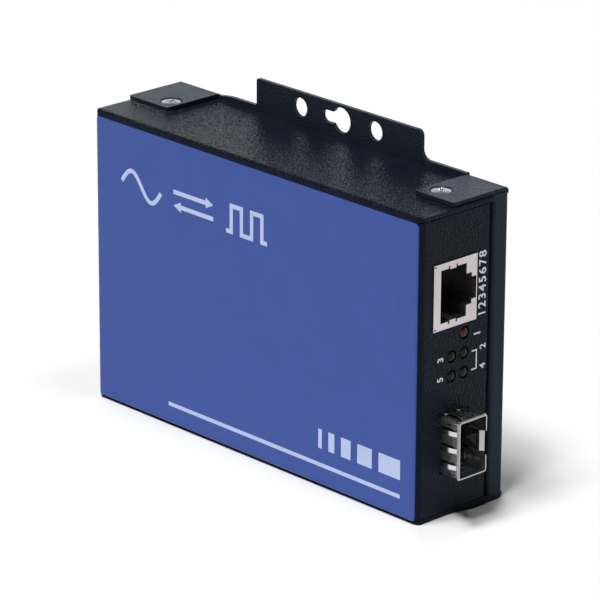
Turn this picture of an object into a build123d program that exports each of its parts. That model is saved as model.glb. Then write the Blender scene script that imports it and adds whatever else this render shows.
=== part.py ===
from build123d import *
import os
from math import radians, tan

# Fibre media converter in a folded steel case, in millimetres.
# +X is the port end, -Y the label side, +Y the wall side, +Z up; it stands on its two lower tabs.

# Folded cover: label face, top, bottom, front panel and rear panel from one sheet
CASE_LENGTH = 111.0
CASE_HEIGHT = 74.0
COVER_DEPTH = 27.75
COVER_SHEET = 1.0
COVER_BEND = 1.5
SEAM = 0.2
LABEL_FILM = 0.15
LABEL_CORNER = 1.0
LABEL_REAR_MARGIN = 0.75
LABEL_FRONT_MARGIN = 0.8
LABEL_TOP_MARGIN = 1.4
LABEL_BOTTOM_MARGIN = 0.8

# Folded back plate: end lips, four screw tabs and the wall flange from one sheet
PLATE_SHEET = 1.0
PLATE_BEND = 1.1
LIP_DEPTH = 5.05
LIP_GAP = 1.8
LIP_EDGE_ROUND = 0.9
FRONT_LIP_INSET = 0.45
REAR_TAB_LENGTH = 13.8
FRONT_TAB_LENGTH = 12.35
FRONT_TAB_INSET = 0.3
TAB_REACH = 17.75
TAB_GAP = 0.2
TAB_CORNER = 0.6
TAB_ROOT = 0.5
EDGE_RISE = 0.2
EDGE_CLEARANCE = 0.4
EDGE_DROP = 0.4
EDGE_RUN = 4.0
EDGE_KNEE = 24.0
FLANGE_WIDTH = 55.85
FLANGE_SHIFT = -0.2
FLANGE_RISE = 7.0
FLANGE_FRONT_CORNER = 1.5
FLANGE_REAR_CORNER = 0.5
FLANGE_FRONT_ROOT = 2.3
FLANGE_REAR_ROOT = 0.8
MOUNT_HOLE_RISE = 3.25
MOUNT_HOLE_DIAMETER = 4.7
MOUNT_HOLE_PITCH = 25.4
KEYHOLE_DIAMETER = 6.2
KEYHOLE_SLOT = 3.0
KEYHOLE_SHIFT = 1.3
KEYHOLE_TRAVEL = 4.9

# Countersunk cover screws and the drawn, tapped collars in the cover
SCREW_REAR_INSET = 10.3
SCREW_FRONT_INSET = 9.2
SCREW_EDGE = 4.5
SCREW_RADIUS = 1.5
SCREW_HEAD_ANGLE = 100
SCREW_SINK = 0.12
SCREW_LENGTH = 5.0
SCREW_CLEARANCE = 0.1
SCREW_RECESS_SPAN = 2.6
SCREW_RECESS_SLOT = 0.6
SCREW_RECESS_DEPTH = 0.9
SCREW_RECESS_TAPER = 12
COLLAR_WALL = 0.8
COLLAR_DEPTH = 1.6

# Circuit board on standoffs clinched into the label face
BOARD_DEPTH = 17.95
BOARD_THICKNESS = 1.6
BOARD_END_GAP = 0.8
BOARD_SIDE_GAP = 0.6
STANDOFF_INSET = 15.0
STANDOFF_EDGE = 6.5
STANDOFF_FLATS = 5.0
STANDOFF_HEAD_RADIUS = 2.1
BOARD_SCREW_RADIUS = 1.25
BOARD_SCREW_LENGTH = 7.0
BOARD_SCREW_HEAD_RADIUS = 2.7
BOARD_SCREW_HEAD = 1.9
FIT = 0.05

# Network jack, 8 ways, latch side towards the board
JACK_DROP = 11.95
JACK_HEIGHT = 13.85
JACK_WIDTH = 15.95
JACK_LENGTH = 16.5
JACK_PROUD = 0.3
JACK_SHEET = 0.25
JACK_OPENING_WIDTH = 12.7
JACK_OPENING_TOP = 2.2
JACK_OPENING_HEIGHT = 8.2
JACK_STEP_WIDTH = 7.5
JACK_STEP_HEIGHT = 1.7
JACK_NOTCH_WIDTH = 5.35
JACK_CAVITY_DEPTH = 12.5
JACK_SLIT = 0.45
JACK_SLIT_DEPTH = 0.6
JACK_PIP_RADIUS = 0.25
JACK_PIP_INSET = 0.5
JACK_TONGUE_WIDTH = 2.0
JACK_TONGUE_LENGTH = 5.0
JACK_TONGUE_BEND = 0.7
JACK_TONGUE_TOP = 2.9
CONTACT_WAYS = 8
CONTACT_PITCH = 1.02
CONTACT_WIRE = 0.4
CONTACT_START = 2.6
CONTACT_FLAT = 1.6
CONTACT_RUN = 6.0
CONTACT_DROP = 2.8
CONTACT_BEND = 0.5

# Transceiver cage, floor towards the board
CAGE_LIFT = 1.7
CAGE_RISE = 10.95
CAGE_HEIGHT = 8.9
CAGE_WIDTH = 14.0
CAGE_LENGTH = 47.0
CAGE_REACH = 6.0
CAGE_SHEET = 0.3
CAGE_CORNER = 0.6
CAGE_CUT_GAP = 0.3
CAGE_SEAM = 0.25
CAGE_SEAM_INSET = 1.0
LATCH_WIDTH = 5.0
LATCH_SLIT = 0.5
LATCH_LENGTH = 10.0
LATCH_TIP = 2.1
LATCH_SETBACK = 1.2
LATCH_KICK = 0.7
LATCH_HOLE = 2.8
LATCH_HOLE_SETBACK = 3.2
LEG_COUNT = 5
LEG_PITCH = 7.5
LEG_WIDTH = 1.4
LEG_SETBACK = 4.0

# Spring-finger collar between the cage and the panel
COLLAR_SHEET = 0.15
COLLAR_SETBACK = 0.35
COLLAR_BAND = 0.7
FINGER_WIDTH = 1.15
FINGER_ENTRY = 0.3
FINGER_BOW = 0.6
FINGER_SLIT = 0.25
TOP_FINGERS = 3
TOP_FINGER_PITCH = 4.1
SIDE_FINGERS = 2
SIDE_FINGER_PITCH = 4.1
FLOOR_FINGER_PITCH = 10.0

# Card-edge socket at the back of the cage
SOCKET_SIDE_GAP = 0.7
SOCKET_HEIGHT = 6.6
SOCKET_LENGTH = 9.0
SOCKET_SETBACK = 0.3
SOCKET_SLOT_WALL = 1.2
SOCKET_SLOT_HEIGHT = 1.6
SOCKET_SLOT_DEPTH = 5.5
SOCKET_SLOT_RISE = 4.2
SOCKET_CLEARANCE = 0.4
SOCKET_WAYS = 10
SOCKET_SPARE_WAYS = 2
SOCKET_CONTACT_WIDTH = 0.4
SOCKET_CONTACT_SHEET = 0.2
SOCKET_CONTACT_LENGTH = 4.5

# Signal lamps: a fault lamp over two rows of two
LAMP_RADIUS = 1.5
LAMP_LENGTH = 5.5
LAMP_PROUD = 0.4
LAMP_CLEARANCE = 0.05
LAMP_NEAR_COLUMN = 14.4
LAMP_FAR_COLUMN = 10.4
LAMP_FIRST_DROP = 2.5
LAMP_PITCH = 4.8
HOLDER_WIDTH = 4.4
HOLDER_LENGTH = 6.5
HOLDER_WALL = 0.9
HOLDER_GAP = 0.3

# Power inlet: pluggable header with four pins, flush with the rear panel
INLET_WAYS = 4
INLET_PITCH = 5.08
INLET_WALL = 0.9
INLET_HEIGHT = 8.6
INLET_LENGTH = 12.0
INLET_CAVITY_DEPTH = 9.0
INLET_DROP = 22.0
INLET_KEY_WIDTH = 1.6
INLET_KEY_DEPTH = 4.0
PIN_SIZE = 1.0
PIN_SETBACK = 1.2
PIN_TAIL = 1.8
PIN_BEND = 0.8

# Set-up switch: four sliding levers behind a window in the rear panel
SWITCH_WAYS = 4
SWITCH_PITCH = 2.54
SWITCH_END = 0.75
SWITCH_HEIGHT = 6.4
SWITCH_LENGTH = 6.0
SWITCH_RISE = 20.0
SWITCH_GAP = 0.2
SWITCH_SLOT_WIDTH = 1.5
SWITCH_SLOT_LENGTH = 3.6
SWITCH_SLOT_DEPTH = 2.2
SWITCH_WINDOW_MARGIN = 0.5
LEVER_LENGTH = 1.6
LEVER_PROUD = 0.9
LEVER_CLEARANCE = 0.1

# Parts on the board
PANEL_CLEARANCE = 0.15
TRANSFORMER_SIZE = (12.7, 15.5, 6.0)
TRANSFORMER_GAP = 4.0
TRANSFORMER_LEAD_COUNT = 8
BRIDGE_SIZE = (14.0, 14.0, 1.4)
BRIDGE_LEAD_COUNT = 12
BRIDGE_SHIFT = 2.0
BRIDGE_RISE = 42.0
MEMORY_SIZE = (5.0, 4.0, 1.6)
REGULATOR_SIZE = (5.0, 4.0, 1.6)
CHIP_LEAD_COUNT = 4
CHIP_SPACING = 14.0
LEAD_WIDTH = 0.4
LEAD_REACH = 1.1
LEAD_SHEET = 0.2
CRYSTAL_LENGTH = 11.0
CRYSTAL_WIDTH = 4.6
CRYSTAL_HEIGHT = 3.6
CRYSTAL_BASE = 0.5
INDUCTOR_SIZE = 12.0
INDUCTOR_HEIGHT = 6.0
INDUCTOR_CORNER = 2.0
INDUCTOR_EDGE = 0.5
INDUCTOR_INSET = 24.0
CAPACITOR_COUNT = 3
CAPACITOR_RADIUS = 4.0
CAPACITOR_HEIGHT = 11.5
CAPACITOR_GROOVE = 0.35
CAPACITOR_BASE = 2.0
CAPACITOR_PITCH = 10.0
CAPACITOR_INSET = 24.0
CAPACITOR_RISE = 28.0
REGULATOR_INSET = 38.0
FUSE_SIZE = (3.2, 8.0, 3.0)
FUSE_EDGE = 0.4
FUSE_RISE = 28.0

# Frame: the origin is the middle of the object's box, on the surface it stands on
REAR_X = -(CASE_LENGTH + CAGE_REACH) / 2
FRONT_X = REAR_X + CASE_LENGTH
PLATE_FRONT_X = FRONT_X - FRONT_LIP_INSET
MID_X = (REAR_X + FRONT_X) / 2
FACE_Y = -(LABEL_FILM + COVER_DEPTH + PLATE_SHEET) / 2 + LABEL_FILM
PLATE_Y = FACE_Y + COVER_DEPTH
BACK_Y = PLATE_Y + PLATE_SHEET
BASE_Z = PLATE_SHEET + TAB_GAP
TOP_Z = BASE_Z + CASE_HEIGHT
MID_Z = (BASE_Z + TOP_Z) / 2
FLANGE_X = MID_X + FLANGE_SHIFT
TAB_TOP_Z = TOP_Z + TAB_GAP + PLATE_SHEET
COVER_EDGE_Y = PLATE_Y - (PLATE_BEND - PLATE_SHEET) - FIT
LIP_EDGE_Y = BACK_Y - LIP_DEPTH
PANEL_EDGE_Y = LIP_EDGE_Y - LIP_GAP
PANEL_LOW_Z = BASE_Z + COVER_SHEET + SEAM
PANEL_HIGH_Z = TOP_Z - COVER_SHEET - SEAM
TAB_EDGE_Y = BACK_Y - TAB_REACH
SCREW_Y = TAB_EDGE_Y + SCREW_EDGE
SCREW_HEAD_SLOPE = tan(radians(SCREW_HEAD_ANGLE / 2))
SCREW_HOLE_RADIUS = SCREW_RADIUS + SCREW_CLEARANCE
SCREW_HEAD_RADIUS = SCREW_HOLE_RADIUS + (PLATE_SHEET - SCREW_SINK) * SCREW_HEAD_SLOPE - FIT
SCREW_XS = (REAR_X + SCREW_REAR_INSET, FRONT_X - SCREW_FRONT_INSET)
INNER_FRONT_X = FRONT_X - COVER_SHEET
INNER_REAR_X = REAR_X + COVER_SHEET

BOARD_Y = FACE_Y + BOARD_DEPTH
BOARD_BACK_Y = BOARD_Y + BOARD_THICKNESS
BOARD_EDGE = COVER_SHEET + COLLAR_DEPTH + BOARD_SIDE_GAP
BOARD_LENGTH = CASE_LENGTH - 2 * (COVER_SHEET + BOARD_END_GAP)
BOARD_HEIGHT = CASE_HEIGHT - 2 * BOARD_EDGE
STANDOFF_XS = (REAR_X + STANDOFF_INSET, FRONT_X - STANDOFF_INSET)
STANDOFF_ZS = (BASE_Z + STANDOFF_EDGE, TOP_Z - STANDOFF_EDGE)
STANDOFFS = [(x, z) for x in STANDOFF_XS for z in STANDOFF_ZS]

JACK_TOP_Y = BOARD_Y - JACK_HEIGHT
JACK_FACE_X = FRONT_X + JACK_PROUD
JACK_BACK_X = JACK_FACE_X - JACK_LENGTH
JACK_MID_Y = JACK_TOP_Y + JACK_HEIGHT / 2
JACK_Z = TOP_Z - JACK_DROP - JACK_WIDTH / 2

CAGE_FLOOR_Y = BOARD_Y - CAGE_LIFT
CAGE_TOP_Y = CAGE_FLOOR_Y - CAGE_HEIGHT
CAGE_MID_Y = CAGE_TOP_Y + CAGE_HEIGHT / 2
CAGE_Z = BASE_Z + CAGE_RISE + CAGE_WIDTH / 2
CAGE_MOUTH_X = FRONT_X + CAGE_REACH
CAGE_BACK_X = CAGE_MOUTH_X - CAGE_LENGTH
BAND_FRONT_X = CAGE_MOUTH_X - COLLAR_SETBACK
BAND_BACK_X = BAND_FRONT_X - COLLAR_BAND
FINGER_XS = ((BAND_FRONT_X + BAND_BACK_X) / 2, FRONT_X - FINGER_ENTRY)
TOP_FINGER_ZS = [CAGE_Z + (n - (TOP_FINGERS - 1) / 2) * TOP_FINGER_PITCH for n in range(TOP_FINGERS)]
FLOOR_FINGER_ZS = [CAGE_Z + side * FLOOR_FINGER_PITCH / 2 for side in (-1, 1)]
SIDE_FINGER_YS = [
    CAGE_MID_Y + (n - (SIDE_FINGERS - 1) / 2) * SIDE_FINGER_PITCH for n in range(SIDE_FINGERS)
]

SOCKET_X = CAGE_BACK_X + CAGE_SHEET + SOCKET_SETBACK
SOCKET_FACE_X = SOCKET_X + SOCKET_LENGTH
SOCKET_SLOT_Y = BOARD_Y - SOCKET_SLOT_RISE
SOCKET_WIDTH = CAGE_WIDTH - 2 * (CAGE_SHEET + SOCKET_SIDE_GAP)
SOCKET_SLOT_WIDTH = SOCKET_WIDTH - 2 * SOCKET_SLOT_WALL
SOCKET_PITCH = SOCKET_SLOT_WIDTH / (SOCKET_WAYS + SOCKET_SPARE_WAYS)

LAMP_TOP_Z = JACK_Z - JACK_WIDTH / 2 - LAMP_FIRST_DROP
LAMP_ROWS = [LAMP_TOP_Z - row * LAMP_PITCH for row in range(3)]
LAMP_NEAR_Y = FACE_Y + LAMP_NEAR_COLUMN
LAMP_FAR_Y = FACE_Y + LAMP_FAR_COLUMN
FAULT_LAMP = [(LAMP_NEAR_Y, LAMP_ROWS[0])]
LINK_LAMPS = [(y, z) for z in LAMP_ROWS[1:] for y in (LAMP_NEAR_Y, LAMP_FAR_Y)]
HOLDER_FACE_X = INNER_FRONT_X - HOLDER_GAP
LAMP_FRONT_X = FRONT_X + LAMP_PROUD

INLET_Z = TOP_Z - INLET_DROP
INLET_CAVITY_WIDTH = INLET_WAYS * INLET_PITCH
INLET_WIDTH = INLET_CAVITY_WIDTH + 2 * INLET_WALL
INLET_Y = BOARD_Y - INLET_HEIGHT / 2
INLET_BACK_X = REAR_X + INLET_LENGTH

SWITCH_Z = BASE_Z + SWITCH_RISE
SWITCH_WIDTH = SWITCH_WAYS * SWITCH_PITCH + 2 * SWITCH_END
SWITCH_FACE_X = INNER_REAR_X + SWITCH_GAP
SWITCH_Y = BOARD_Y - SWITCH_HEIGHT / 2
SWITCH_WINDOW = (
    SWITCH_SLOT_LENGTH + 2 * SWITCH_WINDOW_MARGIN,
    (SWITCH_WAYS - 1) * SWITCH_PITCH + SWITCH_SLOT_WIDTH + 2 * SWITCH_WINDOW_MARGIN,
)
LEVER_ZS = [SWITCH_Z + (way - (SWITCH_WAYS - 1) / 2) * SWITCH_PITCH for way in range(SWITCH_WAYS)]

FRONT_PLANE = Plane.YZ.offset(FRONT_X)
REAR_PLANE = Plane.YZ.offset(REAR_X)
BOARD_PLANE = Plane.XZ.offset(-BOARD_Y)


def block(x_span, y_span, z_span, mode=Mode.ADD):
    """A box between the two values of each span, in the part being built."""
    spans = (x_span, y_span, z_span)
    with Locations(tuple(sum(span) / 2 for span in spans)):
        Box(*[abs(span[1] - span[0]) for span in spans], mode=mode)


def package(x, z, size, long_leads, end_leads=0):
    """A moulded body on the board with flat leads on its long sides and, if asked, on its ends."""
    length, width, height = size
    block((x - length / 2, x + length / 2), (BOARD_Y - height, BOARD_Y), (z - width / 2, z + width / 2))
    leads = [(long_leads, length, width, True), (end_leads, width, length, False)]
    for count, side, across, along_x in leads:
        for lead in range(count):
            place = (lead + 0.5) * side / count - side / 2
            lead_span = (place - LEAD_WIDTH / 2, place + LEAD_WIDTH / 2)
            reach = across / 2 + LEAD_REACH
            x_span, z_span = (lead_span, (-reach, reach)) if along_x else ((-reach, reach), lead_span)
            block(
                [x + value for value in x_span],
                (BOARD_Y - LEAD_SHEET, BOARD_Y),
                [z + value for value in z_span],
            )


def jack_opening():
    """Sketch of the jack's mouth: plug opening, step and latch notch, drawn on a Y-Z plane."""
    opening_top = JACK_TOP_Y + JACK_OPENING_TOP
    step_top = opening_top + JACK_OPENING_HEIGHT
    notch_top = step_top + JACK_STEP_HEIGHT
    notch_end = BOARD_Y - JACK_SHEET
    levels = [
        (opening_top, step_top, JACK_OPENING_WIDTH),
        (step_top, notch_top, JACK_STEP_WIDTH),
        (notch_top, notch_end, JACK_NOTCH_WIDTH),
    ]
    for low, high, width in levels:
        with Locations(((low + high) / 2, JACK_Z)):
            Rectangle(high - low, width)


# Outer form of the cover, used for the cover and for the film on its face
with BuildPart() as cover_form:
    with BuildSketch(Plane.XZ.offset(-FACE_Y)):
        with Locations((MID_X, MID_Z)):
            Rectangle(CASE_LENGTH, CASE_HEIGHT)
    extrude(amount=FACE_Y - COVER_EDGE_Y)
    fillet(cover_form.faces().sort_by(Axis.Y)[0].edges(), COVER_BEND)

# Cover: five walls, open seams beside the folded panels, port cut-outs
with BuildPart() as cover_shell:
    add(cover_form.part)
    offset(amount=-COVER_SHEET, openings=cover_shell.faces().sort_by(Axis.Y)[-1])
    for wall_x in ((REAR_X, INNER_REAR_X), (INNER_FRONT_X, FRONT_X)):
        for seam_z in ((BASE_Z + COVER_SHEET, PANEL_LOW_Z), (PANEL_HIGH_Z, TOP_Z - COVER_SHEET)):
            block(wall_x, (FACE_Y, PANEL_EDGE_Y), seam_z, mode=Mode.SUBTRACT)
        block(
            wall_x, (PANEL_EDGE_Y, PLATE_Y), (BASE_Z + COVER_SHEET, TOP_Z - COVER_SHEET), mode=Mode.SUBTRACT
        )
    lip_room = PLATE_SHEET + SEAM
    for notch_x in ((REAR_X, REAR_X + lip_room), (PLATE_FRONT_X - lip_room, FRONT_X)):
        block(notch_x, (LIP_EDGE_Y - SEAM, PLATE_Y), (BASE_Z, TOP_Z), mode=Mode.SUBTRACT)
    collar_low = Plane.XY.offset(BASE_Z + COVER_SHEET)
    collar_high = Plane.XY.offset(TOP_Z - COVER_SHEET - COLLAR_DEPTH)
    for plane in (collar_low, collar_high):
        with BuildSketch(plane):
            with Locations(*[(x, SCREW_Y) for x in SCREW_XS]):
                Circle(SCREW_HOLE_RADIUS + COLLAR_WALL)
        extrude(amount=COLLAR_DEPTH)
    with BuildSketch(Plane.XY.offset(BASE_Z)):
        with Locations(*[(x, SCREW_Y) for x in SCREW_XS]):
            Circle(SCREW_HOLE_RADIUS)
    extrude(amount=CASE_HEIGHT, mode=Mode.SUBTRACT)
    with BuildSketch(Plane.XZ.offset(-FACE_Y)):
        with Locations(*STANDOFFS):
            Circle(STANDOFF_HEAD_RADIUS + FIT)
    extrude(amount=-COVER_SHEET, mode=Mode.SUBTRACT)
    with BuildSketch(FRONT_PLANE):
        with Locations((JACK_MID_Y, JACK_Z)):
            Rectangle(JACK_HEIGHT + 2 * PANEL_CLEARANCE, JACK_WIDTH + 2 * PANEL_CLEARANCE)
        with Locations((CAGE_MID_Y, CAGE_Z)):
            Rectangle(CAGE_HEIGHT + 2 * CAGE_CUT_GAP, CAGE_WIDTH + 2 * CAGE_CUT_GAP)
        with Locations(*FAULT_LAMP, *LINK_LAMPS):
            Circle(LAMP_RADIUS + LAMP_CLEARANCE)
    extrude(amount=-COVER_SHEET, mode=Mode.SUBTRACT)
    with BuildSketch(REAR_PLANE):
        with Locations((INLET_Y, INLET_Z)):
            Rectangle(INLET_HEIGHT + 2 * PANEL_CLEARANCE, INLET_WIDTH + 2 * PANEL_CLEARANCE)
        with Locations((SWITCH_Y, SWITCH_Z)):
            Rectangle(*SWITCH_WINDOW)
    extrude(amount=COVER_SHEET, mode=Mode.SUBTRACT)

# Label film: follows the flat face and the start of each bend
with BuildPart() as face_label:
    film_plane = Plane.XZ.offset(LABEL_FILM - FACE_Y)
    with BuildSketch(film_plane):
        with Locations((MID_X, MID_Z)):
            Rectangle(CASE_LENGTH + 2 * LABEL_FILM, CASE_HEIGHT + 2 * LABEL_FILM)
    extrude(amount=-2 * COVER_BEND)
    fillet(face_label.faces().sort_by(Axis.Y)[0].edges(), COVER_BEND + LABEL_FILM)
    add(cover_form.part, mode=Mode.SUBTRACT)
    with BuildSketch(film_plane):
        label_x = MID_X + (LABEL_REAR_MARGIN - LABEL_FRONT_MARGIN) / 2
        label_z = MID_Z + (LABEL_BOTTOM_MARGIN - LABEL_TOP_MARGIN) / 2
        with Locations((label_x, label_z)):
            RectangleRounded(
                CASE_LENGTH - LABEL_REAR_MARGIN - LABEL_FRONT_MARGIN,
                CASE_HEIGHT - LABEL_BOTTOM_MARGIN - LABEL_TOP_MARGIN,
                LABEL_CORNER,
            )
    extrude(amount=-COVER_BEND, mode=Mode.INTERSECT)

# Back plate: end lips, tabs and wall flange
TAB_SPANS = (
    (REAR_X, REAR_X + REAR_TAB_LENGTH),
    (PLATE_FRONT_X - FRONT_TAB_INSET - FRONT_TAB_LENGTH, PLATE_FRONT_X - FRONT_TAB_INSET),
)
with BuildPart() as back_plate:
    mid_sheet = PLATE_SHEET / 2
    bend_line = PLATE_BEND - mid_sheet
    with BuildSketch(Plane.XY.offset(PLATE_BEND)):
        with BuildLine():
            FilletPolyline(
                (REAR_X + mid_sheet, LIP_EDGE_Y),
                (REAR_X + mid_sheet, BACK_Y - mid_sheet),
                (PLATE_FRONT_X - mid_sheet, BACK_Y - mid_sheet),
                (PLATE_FRONT_X - mid_sheet, LIP_EDGE_Y),
                radius=bend_line,
            )
        trace(line_width=PLATE_SHEET)
    extrude(amount=TAB_TOP_Z - 2 * PLATE_BEND)
    lip_edges = back_plate.edges().filter_by(Axis.Z)
    lip_edges = lip_edges.filter_by_position(Axis.Y, LIP_EDGE_Y - FIT, LIP_EDGE_Y + FIT)
    fillet(lip_edges.group_by(Axis.X)[0] + lip_edges.group_by(Axis.X)[-1], LIP_EDGE_ROUND)
    with BuildSketch(Plane.XZ.offset(-PLATE_Y)):
        with Locations(((REAR_X + PLATE_FRONT_X) / 2, MID_Z)):
            Rectangle(PLATE_FRONT_X - REAR_X - 2 * PLATE_BEND, TAB_TOP_Z - 2 * PLATE_BEND)
    extrude(amount=-PLATE_SHEET)
    with BuildSketch(Plane.XZ.offset(-PLATE_Y)) as flange_outline:
        with BuildLine():
            edge_low = EDGE_CLEARANCE
            edge_high = TAB_TOP_Z + EDGE_RISE
            flange_rear = FLANGE_X - FLANGE_WIDTH / 2
            flange_front = FLANGE_X + FLANGE_WIDTH / 2
            flange_top = TAB_TOP_Z + FLANGE_RISE
            Polyline(
                (TAB_SPANS[0][1], edge_low),
                (TAB_SPANS[0][1], TAB_TOP_Z - EDGE_DROP),
                (TAB_SPANS[0][1] + EDGE_RUN, edge_high),
                (flange_rear, edge_high),
                (flange_rear, flange_top),
                (flange_front, flange_top),
                (flange_front, edge_high),
                (TAB_SPANS[1][0], edge_high),
                (TAB_SPANS[1][0], edge_low),
                close=True,
            )
        make_face()
        roundings = (
            (TAB_SPANS[0][1] + EDGE_RUN, edge_high, EDGE_KNEE),
            (flange_rear, edge_high, FLANGE_REAR_ROOT),
            (flange_rear, flange_top, FLANGE_REAR_CORNER),
            (flange_front, flange_top, FLANGE_FRONT_CORNER),
            (flange_front, edge_high, FLANGE_FRONT_ROOT),
        )
        for corner_x, corner_z, radius in roundings:
            fillet(flange_outline.vertices().sort_by_distance((corner_x, corner_z, 0))[0], radius)
    extrude(amount=-PLATE_SHEET)
    for tab_x, tab_end in TAB_SPANS:
        for tab_low in (0, TAB_TOP_Z - PLATE_SHEET):
            with BuildSketch(Plane.XY.offset(tab_low)) as tab_outline:
                tab_root_y = BACK_Y - PLATE_BEND
                with Locations(((tab_x + tab_end) / 2, (TAB_EDGE_Y + tab_root_y) / 2)):
                    Rectangle(tab_end - tab_x, tab_root_y - TAB_EDGE_Y)
                fillet(tab_outline.vertices().group_by(Axis.Y)[0], TAB_CORNER)
            extrude(amount=PLATE_SHEET)
        with BuildSketch(Plane.YZ.offset(tab_x)):
            for tab_z, root_z in (
                (TAB_TOP_Z - mid_sheet, TAB_TOP_Z - PLATE_BEND - TAB_ROOT),
                (mid_sheet, PLATE_BEND + TAB_ROOT),
            ):
                with BuildLine():
                    FilletPolyline(
                        (tab_root_y - TAB_ROOT, tab_z),
                        (BACK_Y - mid_sheet, tab_z),
                        (BACK_Y - mid_sheet, root_z),
                        radius=bend_line,
                    )
                trace(line_width=PLATE_SHEET)
        extrude(amount=tab_end - tab_x)
    hole_z = TAB_TOP_Z + MOUNT_HOLE_RISE
    with BuildSketch(Plane.XZ.offset(-PLATE_Y)):
        with Locations((FLANGE_X, hole_z)):
            with GridLocations(MOUNT_HOLE_PITCH, 0, 2, 1):
                Circle(MOUNT_HOLE_DIAMETER / 2)
            with Locations((KEYHOLE_SHIFT, 0)):
                Circle(KEYHOLE_DIAMETER / 2)
        keyhole_x = FLANGE_X + KEYHOLE_SHIFT
        SlotCenterPoint(
            (keyhole_x - KEYHOLE_TRAVEL / 2, hole_z), (keyhole_x - KEYHOLE_TRAVEL, hole_z), KEYHOLE_SLOT
        )
    extrude(amount=-PLATE_SHEET, mode=Mode.SUBTRACT)
    seat_planes = [Plane((x, SCREW_Y, TAB_TOP_Z), x_dir=(1, 0, 0), z_dir=(0, 0, 1)) for x in SCREW_XS]
    seat_planes += [Plane((x, SCREW_Y, 0), x_dir=(1, 0, 0), z_dir=(0, 0, -1)) for x in SCREW_XS]
    with Locations(*seat_planes):
        CounterSinkHole(
            SCREW_HOLE_RADIUS,
            SCREW_HOLE_RADIUS + PLATE_SHEET * SCREW_HEAD_SLOPE,
            depth=PLATE_SHEET,
            counter_sink_angle=SCREW_HEAD_ANGLE,
        )

# Cover screw: flat head sunk in the tab, cross recess
with BuildPart() as cover_screw:
    with BuildSketch(Plane.XZ):
        with BuildLine():
            Polyline(
                (0, 0),
                (SCREW_HEAD_RADIUS, 0),
                (SCREW_RADIUS, (SCREW_RADIUS - SCREW_HEAD_RADIUS) / SCREW_HEAD_SLOPE),
                (SCREW_RADIUS, -SCREW_LENGTH),
                (0, -SCREW_LENGTH),
                close=True,
            )
        make_face()
    revolve(axis=Axis.Z)
    with BuildSketch(Plane.XY):
        Rectangle(SCREW_RECESS_SPAN, SCREW_RECESS_SLOT)
        Rectangle(SCREW_RECESS_SLOT, SCREW_RECESS_SPAN)
    extrude(amount=-SCREW_RECESS_DEPTH, taper=SCREW_RECESS_TAPER, mode=Mode.SUBTRACT)

with BuildPart() as cover_screws:
    with Locations(*[plane.offset(-SCREW_SINK) for plane in seat_planes]):
        add(cover_screw.part)

# Circuit board with a hole over each standoff
with BuildPart() as circuit_board:
    with BuildSketch(BOARD_PLANE):
        with Locations((MID_X, MID_Z)):
            Rectangle(BOARD_LENGTH, BOARD_HEIGHT)
        with Locations(*STANDOFFS):
            Circle(BOARD_SCREW_RADIUS + SCREW_CLEARANCE, mode=Mode.SUBTRACT)
    extrude(amount=-BOARD_THICKNESS)

with BuildPart() as board_standoffs:
    with BuildSketch(Plane.XZ.offset(-FACE_Y)):
        with Locations(*STANDOFFS):
            Circle(STANDOFF_HEAD_RADIUS)
    extrude(amount=-COVER_SHEET)
    with BuildSketch(Plane.XZ.offset(-FACE_Y - COVER_SHEET)):
        with Locations(*STANDOFFS):
            RegularPolygon(STANDOFF_FLATS / 2, 6, major_radius=False)
    extrude(amount=FACE_Y + COVER_SHEET - BOARD_Y)
    with BuildSketch(BOARD_PLANE):
        with Locations(*STANDOFFS):
            Circle(BOARD_SCREW_RADIUS + FIT)
    extrude(amount=BOARD_SCREW_LENGTH, mode=Mode.SUBTRACT)

with BuildPart() as board_screws:
    with BuildSketch(Plane.XZ.offset(-BOARD_BACK_Y)):
        with Locations(*STANDOFFS):
            Circle(BOARD_SCREW_RADIUS)
    extrude(amount=BOARD_SCREW_LENGTH)
    with BuildSketch(Plane.XZ.offset(-BOARD_BACK_Y)):
        with Locations(*STANDOFFS):
            Circle(BOARD_SCREW_HEAD_RADIUS)
    extrude(amount=-BOARD_SCREW_HEAD)
    fillet(board_screws.edges().group_by(Axis.Y)[-1], BOARD_SCREW_HEAD / 2)

# Network jack
with BuildPart() as rj45_shield:
    block(
        (JACK_BACK_X, JACK_FACE_X),
        (JACK_TOP_Y, BOARD_Y),
        (JACK_Z - JACK_WIDTH / 2, JACK_Z + JACK_WIDTH / 2),
    )
    offset(amount=-JACK_SHEET, openings=rj45_shield.faces().sort_by(Axis.X)[0])
    with BuildSketch(Plane.YZ.offset(JACK_FACE_X)):
        jack_opening()
        tongue_y = JACK_TOP_Y + JACK_OPENING_TOP + JACK_TONGUE_TOP
        slit_pitch = JACK_TONGUE_WIDTH + JACK_SLIT
        with Locations((tongue_y + JACK_TONGUE_WIDTH / 2, JACK_Z)):
            with GridLocations(slit_pitch, JACK_OPENING_WIDTH, 2, 2):
                Rectangle(JACK_SLIT, 2 * JACK_SLIT_DEPTH)
        with Locations((JACK_TOP_Y + JACK_PIP_INSET, JACK_Z)):
            with GridLocations(0, JACK_WIDTH - 2 * JACK_PIP_INSET, 1, 2):
                Circle(JACK_PIP_RADIUS)
    extrude(amount=-JACK_SHEET, mode=Mode.SUBTRACT)
    with BuildSketch(Plane.XZ.offset(-tongue_y)):
        for side in (-1, 1):
            edge_z = JACK_Z + side * JACK_OPENING_WIDTH / 2
            with BuildLine():
                Polyline(
                    (JACK_FACE_X - JACK_SHEET / 2, edge_z + side * JACK_SLIT_DEPTH),
                    (JACK_FACE_X - JACK_SHEET / 2, edge_z - side * JACK_SHEET / 2),
                    (JACK_FACE_X - JACK_TONGUE_LENGTH, edge_z - side * JACK_TONGUE_BEND),
                )
            trace(line_width=JACK_SHEET)
    extrude(amount=-JACK_TONGUE_WIDTH)

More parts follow.
